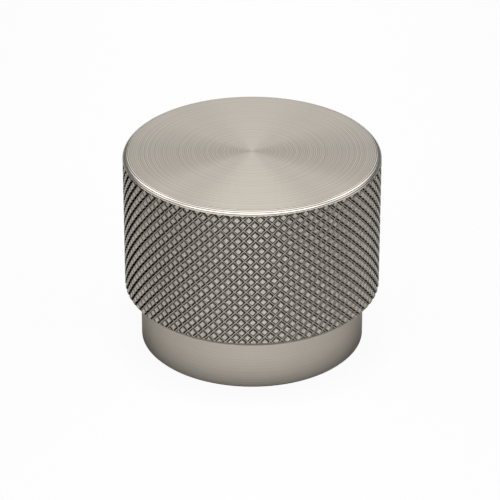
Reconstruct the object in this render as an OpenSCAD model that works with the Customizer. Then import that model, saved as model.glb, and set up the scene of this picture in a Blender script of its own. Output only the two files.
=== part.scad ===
// Knurled furniture knob, turned from one piece of bar.
// The bar is knurled first. Turning the face, the rim, the underside and the foot
// then cuts through the knurl, so its grooves run out on the rim and on the lower edge.
// Millimetres. The base stands on z = 0 and the axis is +Z.

/* [Head] */
// Diameter over the knurl
head_d = 32; // [31:0.5:36]
// Height of the head, from the shoulder to the turned face
head_h = 18.8; // [14:0.2:22]
// Width of the sloping rim round the face, measured inwards
rim_w = 0.75; // [0.6:0.01:0.9]
// Height of the sloping rim
rim_h = 0.6; // [0.5:0.05:0.9]
// Chamfer at 45 degrees on the head's lower edge
lower_chamfer = 0.7; // [0.4:0.05:0.9]

/* [Foot] */
// Diameter of the foot
foot_d = 28; // [20:0.5:28.5]
// Height of the foot, from the base to the shoulder
foot_h = 6.8; // [4:0.2:10]
// Radius in the corner between the foot and the shoulder
shoulder_fillet = 0.3; // [0.1:0.05:0.35]
// Chamfer at 45 degrees round the base
base_chamfer = 0.2; // [0.1:0.05:0.4]

/* [Knurl] */
// Distance between two grooves, measured square to them
knurl_pitch = 1; // [0.95:0.05:1.6]
// Mean angle between the grooves and the axis
knurl_angle = 45; // [38:1:50]
// How far the wheels' holder is turned, so that rising grooves stand steeper
knurl_turn = 2; // [0:0.5:4]
// Depth of the grooves below the points of the diamonds
groove_depth = 0.22; // [0.15:0.01:0.3]
// Height at which two grooves cross near the front
crossing_h = 15.26; // [10:0.02:20]
// Turn of that crossing from the front, in degrees
crossing_turn = -0.28; // [-3:0.02:3]

/* [Fixing hole] */
// Diameter of the hole, drilled for an M4 thread
hole_d = 3.3; // [2.5:0.1:4.2]
// Depth of the hole's full diameter
hole_depth = 12; // [8:0.5:16]
// Angle of the drill point at the bottom of the hole
drill_angle = 118; // [90:1:135]
// Diameter of the 90 degree countersink at the mouth
countersink_d = 4.6; // [4.4:0.1:7]

/* [Hidden] */

head_r = head_d/2;
foot_r = foot_d/2;
knob_h = foot_h + head_h;

// Each set has a whole number of grooves round the bar. The wheels' turn gives one set
// a few more than the other, so the diamonds climb slowly round the bar like a thread.
rising = round(PI*head_d*cos(knurl_angle - knurl_turn)/knurl_pitch);
falling = round(PI*head_d*cos(knurl_angle + knurl_turn)/knurl_pitch);
around = rising + falling;

// One step along a groove, from one crossing to the next: part of a turn, and height
rising_climb = rising*tan(knurl_angle - knurl_turn);
falling_climb = falling*tan(knurl_angle + knurl_turn);
whole = rising*falling_climb + falling*rising_climb;
falling_step = [falling_climb/whole, -PI*head_d*falling/whole];
rising_step = [rising_climb/whole, PI*head_d*rising/whole];

// The pattern covers the knurled side and runs past both of its ends. Its rows are
// counted up and down from the crossing near the front.
band_low = foot_h + lower_chamfer;
band_high = knob_h - rim_h;
row_step = rising_step - falling_step;
low_row = floor((band_low - crossing_h)/row_step[1]) - 1;
high_row = ceil((band_high - crossing_h)/row_step[1]) + 1;
rows = high_row - low_row;

// Radius at the bottom of the grooves
groove_r = head_r - groove_depth;

// How far a cutting shape runs past the surface that it cuts
past = 1;

// Places on the bar are a part of a turn and a height, counted from that crossing
function on_bar(r, turn, z) = [
    r*sin(360*turn + crossing_turn), -r*cos(360*turn + crossing_turn), z];
function on_knurl(r, place) = on_bar(r, place[0], crossing_h + place[1]);

// A ring of crossings goes once round the bar and stays as level as it can: mostly one
// step down a falling groove, then one step up a rising groove. ups counts the latter.
function ups(s) = floor(s*falling/around + 1/2);
function lattice(s, row) = (s - ups(s))*falling_step + ups(s)*rising_step + row*row_step;

// Bar with pointed diamonds: four flat walls from each point down to the grooves.
// Above and below the knurl, the bar goes on with plain sides as deep as the grooves.
module knurled_bar() {
    crossings = [for (s = [0:around - 1], row = [low_row:high_row])
        on_knurl(groove_r, lattice(s, row))];
    points = [for (s = [0:around - 1], row = [low_row:high_row - 1])
        on_knurl(head_r, lattice(s, row + 1/2))];
    low_end = [for (s = [0:around - 1]) on_bar(groove_r, lattice(s, low_row)[0], -past)];
    high_end = [for (s = [0:around - 1])
        on_bar(groove_r, lattice(s, high_row)[0], knob_h + past)];

    first_point = len(crossings);
    first_low = first_point + len(points);
    first_high = first_low + around;
    function crossing(s, row) = (s + around) % around*(rows + 1) + row;
    function low(s) = first_low + s % around;
    function high(s) = first_high + s % around;

    diamonds = [for (s = [0:around - 1], row = [0:rows - 1])
        let (point = first_point + s*rows + row,
            below = crossing(s, row), above = crossing(s, row + 1),
            left = crossing(s - 1, row + ups(s) - ups(s - 1)),
            right = crossing(s + 1, row + 1 + ups(s) - ups(s + 1)))
        each [[point, left, above], [point, above, right],
            [point, right, below], [point, below, left]]];
    low_side = [for (s = [0:around - 1])
        [crossing(s, 0), crossing(s + 1, 0), low(s + 1), low(s)]];
    high_side = [for (s = [0:around - 1])
        [high(s), high(s + 1), crossing(s + 1, rows), crossing(s, rows)]];
    caps = [[for (s = [0:around - 1]) low(s)], [for (s = [around - 1:-1:0]) high(s)]];

    polyhedron(concat(crossings, points, low_end, high_end),
        concat(diamonds, low_side, high_side, caps), convexity = 8);
}

// Shape that the lathe leaves: foot, shoulder, lower edge, rim and flat face. Between
// the lower edge and the rim it stands clear of the knurl.
module turned_shape() {
    rotate_extrude($fn = 128) {
        polygon([
            [0, foot_h],
            [head_r - lower_chamfer, foot_h],
            [head_r + past, band_low + past],
            [head_r + past, band_high - past*rim_h/rim_w],
            [head_r - rim_w, knob_h],
            [0, knob_h]]);
        polygon([
            [0, 0],
            [foot_r - base_chamfer, 0],
            [foot_r, base_chamfer],
            [foot_r, foot_h + past],
            [0, foot_h + past]]);
        translate([foot_r, foot_h - shoulder_fillet])
            difference() {
                square(shoulder_fillet);
                translate([shoulder_fillet, 0])
                    circle(r = shoulder_fillet, $fn = 32);
            }
    }
}

// Blind hole drilled up from the base, with its countersunk mouth
module fixing_hole() {
    rotate_extrude($fn = 64)
        polygon([
            [0, -past],
            [countersink_d/2 + past, -past],
            [hole_d/2, (countersink_d - hole_d)/2],
            [hole_d/2, hole_depth],
            [0, hole_depth + hole_d/2/tan(drill_angle/2)]]);
}

module knob() {
    color([0.75, 0.72, 0.67])
        intersection() {
            knurled_bar();
            difference() {
                turned_shape();
                fixing_hole();
            }
        }
}

knob();
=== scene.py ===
import math

import bmesh
import bpy
from mathutils import Matrix, Vector


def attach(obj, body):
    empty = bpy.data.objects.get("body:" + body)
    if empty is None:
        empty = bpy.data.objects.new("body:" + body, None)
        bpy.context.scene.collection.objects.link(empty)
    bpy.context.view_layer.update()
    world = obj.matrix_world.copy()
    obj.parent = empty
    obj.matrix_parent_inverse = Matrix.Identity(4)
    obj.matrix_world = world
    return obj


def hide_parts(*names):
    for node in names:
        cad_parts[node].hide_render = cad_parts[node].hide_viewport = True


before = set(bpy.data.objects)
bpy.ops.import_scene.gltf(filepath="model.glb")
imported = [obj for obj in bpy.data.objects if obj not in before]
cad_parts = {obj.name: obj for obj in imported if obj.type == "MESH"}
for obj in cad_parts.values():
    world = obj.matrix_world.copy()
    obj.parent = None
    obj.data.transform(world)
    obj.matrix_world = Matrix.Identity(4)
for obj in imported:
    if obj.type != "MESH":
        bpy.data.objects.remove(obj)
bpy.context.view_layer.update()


# Camera: a long lens on a stand, looking down on the knob from the front. It frames a
# square picture, with the knob's axis almost in the middle.
look_at = Vector((-0.0002555, 0.0, 0.011675))
camera_height = math.radians(28.814)
camera_distance = 0.38404

lens = bpy.data.cameras.new("camera")
lens.sensor_width = 36.0
lens.lens = 220.17
lens.clip_start = 0.01
camera = bpy.data.objects.new("camera", lens)
bpy.context.scene.collection.objects.link(camera)
towards_camera = Vector((0.0, -math.cos(camera_height), math.sin(camera_height)))
camera.location = look_at + towards_camera * camera_distance
camera.rotation_euler = (math.pi / 2 - camera_height, 0.0, 0.0)
bpy.context.scene.camera = camera
bpy.context.scene.view_settings.view_transform = "Standard"


# Knurled bar: stainless bar, 32 mm over the tops of the knurl. Two wheels roll a square
# one-millimetre pattern into it. Their holder stands two degrees out of true, so there
# are 74 grooves of one hand and 69 of the other. All sizes here are in millimetres.
bar_r = 16.0
rising_grooves = 74
falling_grooves = 69
rising_depth = 0.20
falling_depth = 0.22
crossing_h = 15.26
crossing_turn = math.radians(-0.28)
knurl_top = 24.98
fade_length = 0.35
bar_seam = 0.002

# One diamond has six strips each way: the groove's floor, two strips up its wall, the
# flat top, and two strips down the next wall. The drops are parts of the groove's depth.
rising_edges = (-0.055, 0.055, 0.12, 0.22, 0.72, 0.79, 0.945)
falling_edges = (-0.05, 0.05, 0.17, 0.25, 0.76, 0.84, 0.95)
strip_drops = (1.0, 1.0, 0.5, 0.0, 0.0, 0.5, 1.0)
strips = 6


def node(tree, kind, **settings):
    """Adds one shader node and sets what is given by name."""
    made = tree.nodes.new("ShaderNode" + kind)
    for name, value in settings.items():
        setattr(made, name, value)
    return made


def metal(name, colour, roughness, edge=1.0):
    """Bare metal finish. Its edge tint is what it sends back at a glancing angle."""
    finish = bpy.data.materials.new(name)
    finish.use_nodes = True
    shader = finish.node_tree.nodes["Principled BSDF"]
    shader.inputs["Base Color"].default_value = (*colour, 1.0)
    shader.inputs["Metallic"].default_value = 1.0
    shader.inputs["Specular Tint"].default_value = (edge, edge, edge, 1.0)
    shader.inputs["Roughness"].default_value = roughness
    return finish


def mark(finish, marks, colour, depth, contrast, low=0.0, high=1.0):
    """Dents the metal by its marks, and shades its colour by them from low to high."""
    tree = finish.node_tree
    shader = tree.nodes["Principled BSDF"]
    shade = node(tree, "MapRange")
    shade.inputs["From Min"].default_value = low
    shade.inputs["From Max"].default_value = high
    shade.inputs["To Min"].default_value = 1.0 - contrast
    shade.inputs["To Max"].default_value = 1.0 + contrast
    tree.links.new(marks, shade.inputs["Value"])
    tint = node(tree, "VectorMath", operation="SCALE")
    tint.inputs[0].default_value = colour
    tree.links.new(shade.outputs["Result"], tint.inputs["Scale"])
    tree.links.new(tint.outputs["Vector"], shader.inputs["Base Color"])
    bump = node(tree, "Bump")
    bump.inputs["Distance"].default_value = depth
    tree.links.new(marks, bump.inputs["Height"])
    tree.links.new(bump.outputs["Normal"], shader.inputs["Normal"])


def pressed(name, colour, roughness, grain, depth, contrast, edge=1.0):
    """Metal squeezed by a tool: cloudy grains, so many to the metre, slightly dented."""
    finish = metal(name, colour, roughness, edge)
    tree = finish.node_tree
    place = node(tree, "TexCoord")
    cloud = node(tree, "TexNoise")
    cloud.inputs["Scale"].default_value = grain
    cloud.inputs["Detail"].default_value = 3.0
    tree.links.new(place.outputs["Object"], cloud.inputs["Vector"])
    mark(finish, cloud.outputs["Fac"], colour, depth, contrast, low=0.3, high=0.7)
    return finish


# The tops and floors are bare metal. The shoulders and walls are darker copies of it: painted half
# shade and painted deep shade on the slopes and in the grooves.
finishes = [
    pressed("knurl_tops", (0.57, 0.53, 0.47), 0.25, 3000.0, 3e-5, 0.3),
    pressed("painted_half_shade", (0.15, 0.137, 0.119), 0.25, 4000.0, 1e-5, 0.25, edge=0.4),
    pressed("painted_deep_shade", (0.034, 0.030, 0.025), 0.2, 5000.0, 5e-6, 0.3, edge=0.0),
    pressed("knurl_floors", (0.50, 0.465, 0.415), 0.3, 4000.0, 5e-6, 0.15, edge=0.5),
]
TOPS, PAINTED_HALF_SHADE, PAINTED_DEEP_SHADE, FLOORS = range(4)

whole = rising_grooves ** 2 + falling_grooves ** 2
along_falling = Vector((rising_grooves, -falling_grooves, 0.0)) / whole
along_rising = Vector((falling_grooves, rising_grooves, 0.0)) / whole
round_bar = 2 * math.pi * bar_r

bar = bmesh.new()
bmesh.ops.create_grid(bar, x_segments=strips, y_segments=strips, size=0.5)
# Painted shade: the lower wall strips and the whole of one slope take the painted deep shade, the
# other slope strips take the painted half shade.
for patch in bar.faces:
    middle = patch.calc_center_median()
    i = math.floor((middle.x + 0.5) * strips)
    j = math.floor((middle.y + 0.5) * strips)
    if i == 0 or j == 0:
        patch.material_index = FLOORS
    elif i in (4, 5) or j in (1, 5):
        patch.material_index = PAINTED_DEEP_SHADE
    elif i in (1, 2) or j in (2, 4):
        patch.material_index = PAINTED_HALF_SHADE
    else:
        patch.material_index = TOPS
for corner in bar.verts:
    i = round((corner.co.x + 0.5) * strips)
    j = round((corner.co.y + 0.5) * strips)
    drop = max(strip_drops[i] * rising_depth, strip_drops[j] * falling_depth)
    place = along_falling * rising_edges[i] + along_rising * falling_edges[j]
    turn = place.x * 2 * math.pi
    radius = bar_r - drop
    corner.co = (radius * math.sin(turn), -radius * math.cos(turn), place.y * round_bar)

# Five diamonds stand in a slanting row, and the row is wound up the bar like a thread,
# from well below the lower edge to above the rim, where its ragged ends are turned away.
# The first diamond is so many rows below the crossing near the front.
row = rising_grooves - falling_grooves
row_step = along_rising - along_falling
bar_low = 3.2
bar_high = 27.2
bar_ends = (-1.0, 30.0)
rows_down = math.ceil((crossing_h - bar_low) / (row_step.y * round_bar))
across = along_falling + along_rising
winds = math.ceil((bar_high - bar_low) / (across.y * round_bar))
bmesh.ops.spin(
    bar, geom=bar.faces[:], cent=(0, 0, 0), axis=(0, 0, 1),
    angle=-along_falling.x * 2 * math.pi * (row - 1),
    dvec=(0, 0, -along_falling.y * round_bar),
    steps=row - 1, use_duplicate=True)
bmesh.ops.spin(
    bar, geom=bar.faces[:], cent=(0, 0, 0), axis=(0, 0, 1),
    angle=across.x * 2 * math.pi * winds,
    dvec=(0, 0, across.y * round_bar),
    steps=winds, use_duplicate=True)
bmesh.ops.remove_doubles(bar, verts=bar.verts[:], dist=bar_seam)
first_turn = crossing_turn - row_step.x * 2 * math.pi * rows_down
bmesh.ops.rotate(
    bar, verts=bar.verts[:], cent=(0, 0, 0), matrix=Matrix.Rotation(first_turn, 3, "Z"))
bmesh.ops.translate(
    bar, verts=bar.verts[:], vec=(0, 0, crossing_h - row_step.y * round_bar * rows_down))

# The wheels' edges are rounded off, so the grooves fade out just under the rim
for corner in bar.verts:
    deep = min(max((knurl_top - corner.co.z) / fade_length, 0.0), 1.0)
    radius = math.hypot(corner.co.x, corner.co.y)
    full = (bar_r - (bar_r - radius) * deep) / radius
    corner.co = (corner.co.x * full, corner.co.y * full, corner.co.z)

# Both ends run on as plain bar, which is turned away later
middle_z = (bar_low + bar_high) / 2
for end_z in bar_ends:
    lip = [e for e in bar.edges if e.is_boundary
           and (e.verts[0].co.z - middle_z) * (end_z - middle_z) > 0]
    grown = bmesh.ops.extrude_edge_only(bar, edges=lip)["geom"]
    for corner in grown:
        if isinstance(corner, bmesh.types.BMVert):
            corner.co.z = end_z
    bmesh.ops.contextual_create(
        bar, geom=[e for e in grown if isinstance(e, bmesh.types.BMEdge) and e.is_boundary])
bmesh.ops.recalc_face_normals(bar, faces=bar.faces[:])


def make_solid(name, form):
    """Turns a finished form into an object that has every finish made so far."""
    mesh = bpy.data.meshes.new(name)
    form.to_mesh(mesh)
    form.free()
    for finish in finishes:
        mesh.materials.append(finish)
    solid = bpy.data.objects.new(name, mesh)
    bpy.context.scene.collection.objects.link(solid)
    return solid


knurled_bar = make_solid("knurled_bar", bar)


# Turned shape: the bar is faced, and its rim, lower edge, square shoulder and foot are
# cut in one setting, so everything runs true. The rim is a one-millimetre radius with
# four fine tool rings on it.
knob_top = 25.6
rim_r = 1.0
rim_start = 22
rim_end = 80
land_angles = (27, 40, 54, 68)
ring_angles = (33, 47, 61, 75)
ring_depths = (0.035, 0.025, 0.015, 0.012)
ring_half = 2.2
foot_r = 14.0
foot_h = 6.8
fillet_r = 0.3
lower_chamfer = 0.7
base_chamfer = 0.2
clear = 0.6
segments = 256
fillet_steps = 6
turned_seam = 0.0005
feed = 0.00025
ring_strength = 0.25
scratches_a_metre = 6000.0


def lathe_marks(name, colour, roughness, anisotropy, depth, contrast, edge=1.0):
    """Metal with fine rings left by the tool, on a flat face and on a round side alike."""
    finish = metal(name, colour, roughness, edge)
    tree = finish.node_tree
    shader = tree.nodes["Principled BSDF"]
    shader.inputs["Anisotropic"].default_value = anisotropy
    shader.inputs["Anisotropic Rotation"].default_value = 0.25
    grain = node(tree, "Tangent", direction_type="RADIAL", axis="Z")
    tree.links.new(grain.outputs["Tangent"], shader.inputs["Tangent"])

    # The tool's path: how far out from the axis and how far up it stood, in metres
    place = node(tree, "TexCoord")
    apart = node(tree, "SeparateXYZ")
    tree.links.new(place.outputs["Object"], apart.inputs["Vector"])
    out = node(tree, "CombineXYZ")
    tree.links.new(apart.outputs["X"], out.inputs["X"])
    tree.links.new(apart.outputs["Y"], out.inputs["Y"])
    radius = node(tree, "VectorMath", operation="LENGTH")
    tree.links.new(out.outputs["Vector"], radius.inputs[0])
    travel = node(tree, "Math", operation="ADD")
    tree.links.new(radius.outputs["Value"], travel.inputs[0])
    tree.links.new(apart.outputs["Z"], travel.inputs[1])

    # One ring for each turn of the feed, uneven in strength, with finer scratches between
    wave = node(tree, "Math", operation="MULTIPLY")
    wave.inputs[1].default_value = 2 * math.pi / feed
    tree.links.new(travel.outputs["Value"], wave.inputs[0])
    rings = node(tree, "Math", operation="SINE")
    tree.links.new(wave.outputs["Value"], rings.inputs[0])
    scratches = node(tree, "TexNoise", noise_dimensions="1D")
    scratches.inputs["Scale"].default_value = scratches_a_metre
    scratches.inputs["Detail"].default_value = 3.0
    tree.links.new(travel.outputs["Value"], scratches.inputs["W"])
    marks = node(tree, "Math", operation="MULTIPLY_ADD")
    marks.inputs[1].default_value = ring_strength
    tree.links.new(rings.outputs["Value"], marks.inputs[0])
    tree.links.new(scratches.outputs["Fac"], marks.inputs[2])
    mark(finish, marks.outputs["Value"], colour, depth, contrast)
    return finish


def add_finish(solid, finish):
    """Gives solid one more finish, and returns the number its faces know it by."""
    finishes.append(finish)
    solid.data.materials.append(finish)
    return len(finishes) - 1


FACE = add_finish(knurled_bar, lathe_marks(
    "turned_face", (0.40, 0.367, 0.321), 0.30, 0.95, 3e-6, 0.35))
RIM = add_finish(knurled_bar, lathe_marks(
    "turned_rim", (0.56, 0.52, 0.465), 0.28, 0.3, 1e-6, 0.05))
FOOT = add_finish(knurled_bar, lathe_marks(
    "turned_foot", (0.58, 0.537, 0.473), 0.4, 0.3, 1e-6, 0.15, edge=0.4))
UNDERSIDE = add_finish(knurled_bar, lathe_marks(
    "turned_underside", (0.48, 0.44, 0.38), 0.38, 0.7, 2e-6, 0.08))

rim_x = bar_r - rim_r * math.cos(math.radians(rim_start))
rim_z = knob_top - rim_r * math.sin(math.radians(rim_end))


def on_rim(angle, sunk=0.0):
    """Radius and height on the rim's round, so many degrees up, and sunk below it."""
    a = math.radians(angle)
    return (rim_x + (rim_r - sunk) * math.cos(a), rim_z + (rim_r - sunk) * math.sin(a))


def turn_run(form, outline, finish, steps):
    """Spins one run of the outline, given as radius and height, round the axis."""
    corners = [form.verts.new((0, -r, z)) for r, z in outline]
    run = [form.edges.new(pair) for pair in zip(corners, corners[1:])]
    before = set(form.faces)
    bmesh.ops.spin(
        form, geom=corners + run, cent=(0, 0, 0), axis=(0, 0, 1),
        angle=2 * math.pi, steps=steps, use_merge=True)
    for face in set(form.faces) - before:
        face.material_index = finish


# Past the rim and the lower edge the outline runs out clear of the bar all round
rim_foot = on_rim(rim_start)
flare = clear / math.tan(math.radians(rim_start))
edge_top = foot_h + lower_chamfer + clear
fillet_line = []
for k in range(fillet_steps + 1):
    bend = math.radians(90 * k / fillet_steps)
    fillet_line.append((foot_r + fillet_r - fillet_r * math.cos(bend),
                        foot_h - fillet_r + fillet_r * math.sin(bend)))

turned = bmesh.new()
turn_run(turned, [(0, 0), (foot_r - base_chamfer, 0)], UNDERSIDE, segments)
# The base's small chamfer takes the painted half shade, a painted dark line along the lower edge.
turn_run(turned, [(foot_r - base_chamfer, 0), (foot_r, base_chamfer)], PAINTED_HALF_SHADE, segments)
turn_run(turned, [(foot_r, base_chamfer), fillet_line[0]], FOOT, segments)
turn_run(turned, fillet_line + [(bar_r - lower_chamfer, foot_h)], UNDERSIDE, segments)
turn_run(turned, [(bar_r - lower_chamfer, foot_h), (bar_r + clear, edge_top)], RIM, segments)
turn_run(turned, [(bar_r + clear, edge_top), (bar_r + clear, rim_foot[1] - flare), rim_foot],
         RIM, segments)
land_foot = rim_foot
for land, ring, depth in zip(land_angles, ring_angles, ring_depths):
    into = on_rim(ring - ring_half)
    out_of = on_rim(ring + ring_half)
    turn_run(turned, [land_foot, on_rim(land), into], RIM, segments)
    # Each tool ring's hollow takes the painted half shade.
    turn_run(turned, [into, on_rim(ring, depth), out_of], PAINTED_HALF_SHADE, segments)
    land_foot = out_of
turn_run(turned, [land_foot, on_rim(rim_end)], RIM, segments)
turn_run(turned, [on_rim(rim_end), (0, knob_top)], FACE, segments)
bmesh.ops.remove_doubles(turned, verts=turned.verts[:], dist=turned_seam)
bmesh.ops.recalc_face_normals(turned, faces=turned.faces[:])
turned_shape = make_solid("turned_shape", turned)


def cut(solid, tool, how):
    """Cuts solid with tool, and throws the tool away."""
    step = solid.modifiers.new(how, "BOOLEAN")
    step.operation = how
    step.solver = "MANIFOLD"
    step.object = tool
    ready = bpy.context.evaluated_depsgraph_get()
    shaped = bpy.data.meshes.new_from_object(solid.evaluated_get(ready))
    solid.modifiers.clear()
    solid.data = shaped
    bpy.data.objects.remove(tool)


cut(knurled_bar, turned_shape, "INTERSECT")
knob = knurled_bar
knob.name = "turned_knob"


# Fixing hole: a 3.3 mm hole drilled up from the base, countersunk, and tapped M4 for the
# bolt that comes through the drawer front. The tap stops a millimetre short of its end.
hole_r = 1.65
hole_depth = 12.0
countersink_r = 2.3
thread_r = 2.0
thread_pitch = 0.7
thread_turns = 15
thread_overlap = 0.15
thread_flank = math.radians(30)
drill_point = math.radians(59)
drill_start = 1
hole_segments = 64
steps_a_turn = 32
HOLE = add_finish(knob, pressed(
    "tapped_hole", (0.40, 0.36, 0.32), 0.35, 4000.0, 5e-6, 0.15))

drill = bmesh.new()
point_h = hole_r / math.tan(drill_point)
turn_run(drill, [(0, -drill_start), (countersink_r + drill_start, -drill_start),
                 (hole_r, countersink_r - hole_r), (hole_r, hole_depth),
                 (0, hole_depth + point_h)], HOLE, hole_segments)
bmesh.ops.remove_doubles(drill, verts=drill.verts[:], dist=turned_seam)
bmesh.ops.recalc_face_normals(drill, faces=drill.faces[:])
cut(knob, make_solid("drill", drill), "DIFFERENCE")

tap = bmesh.new()
inner_r = hole_r - thread_overlap
flank = (thread_r - inner_r) * math.tan(thread_flank)
outline = [(inner_r, -flank), (thread_r, 0), (inner_r, flank)]
tooth = [tap.verts.new((0, -r, z)) for r, z in outline]
sides = [tap.edges.new((tooth[k], tooth[(k + 1) % 3])) for k in range(3)]
bmesh.ops.spin(
    tap, geom=tooth + sides, cent=(0, 0, 0), axis=(0, 0, 1),
    angle=2 * math.pi * thread_turns, dvec=(0, 0, thread_pitch / steps_a_turn),
    steps=steps_a_turn * thread_turns)
bmesh.ops.holes_fill(tap, edges=[e for e in tap.edges if e.is_boundary], sides=3)
for face in tap.faces:
    face.material_index = HOLE
bmesh.ops.recalc_face_normals(tap, faces=tap.faces[:])
cut(knob, make_solid("tap", tap), "DIFFERENCE")


# Finished knob: one solid piece of metal, washed and left bare, with its corners crisp
# and its rounds smooth. It is brought from millimetres to metres here.
crisp = math.radians(15)

shape = bmesh.new()
shape.from_mesh(knob.data)
bmesh.ops.scale(shape, verts=shape.verts[:], vec=(0.001, 0.001, 0.001))
for face in shape.faces:
    face.smooth = True
for edge in shape.edges:
    edge.smooth = edge.calc_face_angle(0.0) < crisp
shape.to_mesh(knob.data)
shape.free()
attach(knob, "root")
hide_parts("knob")


# Table and light tent: a white table top in a white tent, with a hole in it for the bolt.
# A wide soft lamp stands over the front, a narrow one behind and a small one each side.
table_hole_r = (foot_r - base_chamfer) / 1000
table_spread = 3000 / foot_r
table_white = 0.9
# Levels and distances in metres of the painted shadow close to the knob and of the painted shade
# out to both sides
painted_contact_shadow = 0.04
contact_from = 0.0135
contact_to = 0.0195
side_shade = 0.6
side_from = 0.005
side_to = 0.05
table_glow = 0.95
tent_light = 0.35

# The tent shows white to the eye and in the metal, and lights the table more weakly
tent = bpy.data.worlds.new("light_tent")
bpy.context.scene.world = tent
tent.use_nodes = True
tree = tent.node_tree
glow = tree.nodes["Background"]
ray = node(tree, "LightPath")
seen = node(tree, "Math", operation="ADD")
tree.links.new(ray.outputs["Is Camera Ray"], seen.inputs[0])
tree.links.new(ray.outputs["Is Glossy Ray"], seen.inputs[1])
in_view = node(tree, "Math", operation="ADD")
tree.links.new(seen.outputs["Value"], in_view.inputs[0])
tree.links.new(ray.outputs["Is Transmission Ray"], in_view.inputs[1])
level = node(tree, "MapRange")
level.inputs["To Min"].default_value = tent_light
level.inputs["To Max"].default_value = 1.0
tree.links.new(in_view.outputs["Value"], level.inputs["Value"])
tree.links.new(level.outputs["Result"], glow.inputs["Strength"])
glow.inputs["Color"].default_value = (1, 1, 1, 1)

top = bmesh.new()
bmesh.ops.create_circle(top, segments=segments, radius=table_hole_r)
table_edge = bmesh.ops.extrude_edge_only(top, edges=top.edges[:])["geom"]
table_edge = [c for c in table_edge if isinstance(c, bmesh.types.BMVert)]
bmesh.ops.scale(top, verts=table_edge, vec=(table_spread, table_spread, 1))
bmesh.ops.recalc_face_normals(top, faces=top.faces[:])
if top.faces[:][0].normal.z < 0:
    bmesh.ops.reverse_faces(top, faces=top.faces[:])
sheet = bpy.data.meshes.new("table_top")
top.to_mesh(sheet)
top.free()
table = bpy.data.objects.new("table_top", sheet)
bpy.context.scene.collection.objects.link(table)

# The table is white to look at. What the metal sees of it is painted darker: a painted shadow
# close to the knob, where little light gets in, and painted shade out to both sides.
paint = bpy.data.materials.new("white_table")
paint.use_nodes = True
tree = paint.node_tree
chalk = tree.nodes["Principled BSDF"]
chalk.inputs["Roughness"].default_value = 1.0
chalk.inputs["Specular IOR Level"].default_value = 0.0
place = node(tree, "TexCoord")
far = node(tree, "VectorMath", operation="LENGTH")
tree.links.new(place.outputs["Object"], far.inputs[0])
shade = node(tree, "MapRange")
shade.inputs["From Min"].default_value = contact_from
shade.inputs["From Max"].default_value = contact_to
shade.inputs["To Min"].default_value = painted_contact_shadow
shade.inputs["To Max"].default_value = table_white
tree.links.new(far.outputs["Value"], shade.inputs["Value"])
apart = node(tree, "SeparateXYZ")
tree.links.new(place.outputs["Object"], apart.inputs["Vector"])
aside = node(tree, "Math", operation="ABSOLUTE")
tree.links.new(apart.outputs["X"], aside.inputs[0])
painted_side_shade = node(tree, "MapRange")
painted_side_shade.inputs["From Min"].default_value = side_from
painted_side_shade.inputs["From Max"].default_value = side_to
painted_side_shade.inputs["To Min"].default_value = 1.0
painted_side_shade.inputs["To Max"].default_value = side_shade
tree.links.new(aside.outputs["Value"], painted_side_shade.inputs["Value"])
tone = node(tree, "Math", operation="MULTIPLY")
tree.links.new(shade.outputs["Result"], tone.inputs[0])
tree.links.new(painted_side_shade.outputs["Result"], tone.inputs[1])
tree.links.new(tone.outputs["Value"], chalk.inputs["Base Color"])
white = node(tree, "Emission")
ray = node(tree, "LightPath")
share = node(tree, "Math", operation="MULTIPLY")
share.inputs[1].default_value = table_glow
tree.links.new(ray.outputs["Is Camera Ray"], share.inputs[0])
blend = node(tree, "MixShader")
tree.links.new(share.outputs["Value"], blend.inputs["Fac"])
tree.links.new(chalk.outputs["BSDF"], blend.inputs[1])
tree.links.new(white.outputs["Emission"], blend.inputs[2])
tree.links.new(blend.outputs["Shader"], tree.nodes["Material Output"].inputs["Surface"])
sheet.materials.append(paint)


def stand(thing, name, height, turn, distance):
    """Puts a lamp or a card so many degrees up and round from the front, facing the knob."""
    up, round_ = math.radians(height), math.radians(turn)
    way = Vector((math.sin(round_) * math.cos(up), -math.cos(round_) * math.cos(up), math.sin(up)))
    stood = bpy.data.objects.new(name, thing)
    bpy.context.scene.collection.objects.link(stood)
    stood.location = way * distance
    stood.rotation_euler = way.to_track_quat("Z", "Y").to_euler()
    stood.visible_camera = False
    return stood


def softbox(name, height, turn, distance, wide, tall, radiance):
    """Stands up a soft lamp, so many metres wide and tall and equally bright all over."""
    lamp = bpy.data.lights.new(name, "AREA")
    lamp.shape = "RECTANGLE"
    lamp.size = wide
    lamp.size_y = tall
    lamp.energy = radiance * math.pi * wide * tall
    stand(lamp, name, height, turn, distance)


softbox("front_softbox", 60, 0, 0.5, 1.0, 0.4, 1.55)
softbox("back_softbox", 55, 180, 0.5, 0.15, 0.35, 0.85)
softbox("left_softbox", 45, -110, 0.5, 0.35, 0.2, 1.5)
softbox("right_softbox", 45, 110, 0.5, 0.35, 0.2, 1.5)

# Two grey cards behind the knob give the sides of the metal something dark to reflect
card_glow = 0.15
card_wide = 0.6
card_tall = 0.35
card_height = 5
card_turn = 135
card_distance = 0.6
card = bpy.data.materials.new("grey_card")
card.use_nodes = True
tree = card.node_tree
dim = node(tree, "Emission")
dim.inputs["Strength"].default_value = card_glow
tree.links.new(dim.outputs["Emission"], tree.nodes["Material Output"].inputs["Surface"])
for side in (-1, 1):
    flat = bmesh.new()
    bmesh.ops.create_grid(flat, x_segments=1, y_segments=1, size=0.5)
    bmesh.ops.scale(flat, verts=flat.verts[:], vec=(card_wide, card_tall, 1))
    sheet = bpy.data.meshes.new("side_card")
    flat.to_mesh(sheet)
    flat.free()
    sheet.materials.append(card)
    flag = stand(sheet, "side_card", card_height, side * card_turn, card_distance)
    flag.visible_diffuse = False
    flag.visible_shadow = False
